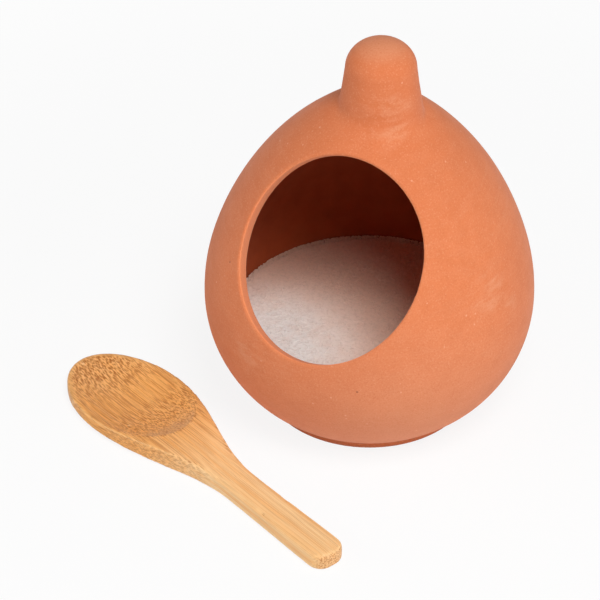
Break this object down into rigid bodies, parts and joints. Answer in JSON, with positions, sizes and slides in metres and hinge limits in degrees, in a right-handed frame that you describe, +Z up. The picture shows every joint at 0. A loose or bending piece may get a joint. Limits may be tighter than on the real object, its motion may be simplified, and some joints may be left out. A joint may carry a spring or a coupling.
{
  "type": "salt pig",
  "caption": "Round terracotta salt jar with a wide tilted mouth and a knob on top, holding a bed of salt, with a flat bamboo spoon lying beside it.",
  "frame": {"origin": "on the table, where the jar's axis meets the plane of its foot ring", "axes": "+Z up along the jar's axis; the mouth faces -Y; the knob leans a little to +X"},
  "size_m": [0.1562, 0.1577, 0.1448],
  "materials": {
    "terracotta": "unglazed, matte",
    "salt": "loose white grains",
    "bamboo": "sanded and oiled, satin"
  },
  "bodies": {
    "jar": {"jar": "terracotta", "salt": "salt"},
    "spoon": {"spoon": "bamboo"}
  },
  "joints": [
    {"name": "spoon_lift", "type": "slide", "parent": "jar", "child": "spoon", "axis": [0, 0, 1], "range_m": [0, 0.15]}
  ]
}
